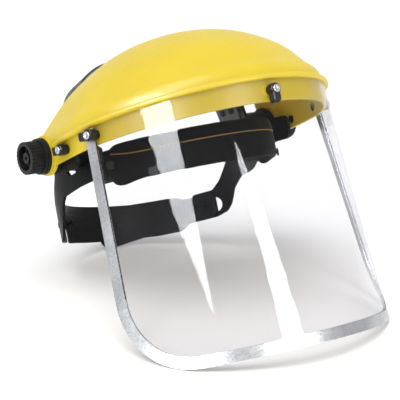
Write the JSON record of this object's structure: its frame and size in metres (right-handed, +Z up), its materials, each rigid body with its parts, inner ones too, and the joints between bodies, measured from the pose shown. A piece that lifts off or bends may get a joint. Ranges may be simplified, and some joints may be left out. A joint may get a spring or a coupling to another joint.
{
  "type": "face shield",
  "caption": "Browguard face shield: a domed crown carries a clear wraparound visor with a metal edge, and swings up on clamp knobs from an adjustable head harness.",
  "frame": {"origin": "centre of the bounding box's bottom face: the object rests on the visor's lower corners and the nape strap", "axes": "+X the wearer's left, -Y the way the visor faces, +Z up off the surface that it rests on"},
  "size_m": [0.2616, 0.2952, 0.2167],
  "materials": {
    "crown_plastic": "yellow moulded polypropylene",
    "visor_sheet": "clear polycarbonate sheet",
    "edge_metal": "bright aluminium channel",
    "rivet_steel": "bright plated steel",
    "harness_plastic": "black moulded polyethylene",
    "sweatband_leatherette": "black leatherette over foam",
    "stud_plastic": "dark grey nylon",
    "latch_plastic": "black moulded nylon",
    "washer_nylon": "natural nylon"
  },
  "bodies": {
    "headgear": {"side_frame_right": "harness_plastic", "side_frame_left": "harness_plastic", "front_headband": "harness_plastic", "sweatband": "sweatband_leatherette", "sweatband_studs": "stud_plastic", "temple_pegs": "harness_plastic", "nape_hooks": "harness_plastic", "overhead_strap_right": "harness_plastic", "overhead_strap_left": "harness_plastic", "overhead_buttons": "harness_plastic", "overhead_pegs": "harness_plastic", "pivot_bolt_right": "rivet_steel", "pivot_bolt_left": "rivet_steel", "friction_washer_right": "washer_nylon", "friction_washer_left": "washer_nylon"},
    "shield": {"crown": "crown_plastic", "visor": "visor_sheet", "visor_trim": "edge_metal", "trim_eyelets": "edge_metal", "latch_rivets": "rivet_steel", "ear_washer_right": "latch_plastic", "ear_washer_left": "latch_plastic"},
    "nape": {"nape_strap_right": "harness_plastic", "nape_strap_left": "harness_plastic", "nape_button": "harness_plastic"},
    "knob_right": {"pivot_knob_right": "latch_plastic"},
    "knob_left": {"pivot_knob_left": "latch_plastic"},
    "turn_latch_rear_right": {"latch_rear_right": "latch_plastic"},
    "turn_latch_edge_right": {"latch_edge_right": "latch_plastic"},
    "turn_latch_rear_left": {"latch_rear_left": "latch_plastic"},
    "turn_latch_edge_left": {"latch_edge_left": "latch_plastic"},
    "turn_latch_front": {"latch_front": "latch_plastic"}
  },
  "joints": [
    {"name": "shield_swing", "type": "hinge", "parent": "headgear", "child": "shield", "pos_m": [0, 0.06974, 0.11465], "axis": [-1, 0, 0], "range_deg": [0, 90]},
    {"name": "nape_slide", "type": "slide", "parent": "headgear", "child": "nape", "axis": [0, -0.9157, 0.4019], "range_m": [0, 0.005]},
    {"name": "knob_right_turn", "type": "hinge", "parent": "headgear", "child": "knob_right", "pos_m": [-0.124, 0.06974, 0.11465], "axis": [-1, 0, 0], "range_deg": [0, 180]},
    {"name": "knob_left_turn", "type": "hinge", "parent": "headgear", "child": "knob_left", "pos_m": [0.124, 0.06974, 0.11465], "axis": [1, 0, 0], "range_deg": [0, 180]},
    {"name": "latch_rear_right_turn", "type": "hinge", "parent": "shield", "child": "turn_latch_rear_right", "pos_m": [-0.11171, 0.03795, 0.12806], "axis": [-0.9994, -0.032, 0.014], "range_deg": [0, 90]},
    {"name": "latch_edge_right_turn", "type": "hinge", "parent": "shield", "child": "turn_latch_edge_right", "pos_m": [-0.1064, 0.00532, 0.14664], "axis": [-0.9542, -0.2738, 0.1202], "range_deg": [0, 90]},
    {"name": "latch_rear_left_turn", "type": "hinge", "parent": "shield", "child": "turn_latch_rear_left", "pos_m": [0.11171, 0.03795, 0.12806], "axis": [0.9994, -0.032, 0.014], "range_deg": [-90, 0]},
    {"name": "latch_edge_left_turn", "type": "hinge", "parent": "shield", "child": "turn_latch_edge_left", "pos_m": [0.1064, 0.00532, 0.14664], "axis": [0.9542, -0.2738, 0.1202], "range_deg": [-90, 0]},
    {"name": "latch_front_turn", "type": "hinge", "parent": "shield", "child": "turn_latch_front", "pos_m": [0, -0.06319, 0.18501], "axis": [0, -0.9157, 0.4019], "range_deg": [0, 90]}
  ]
}
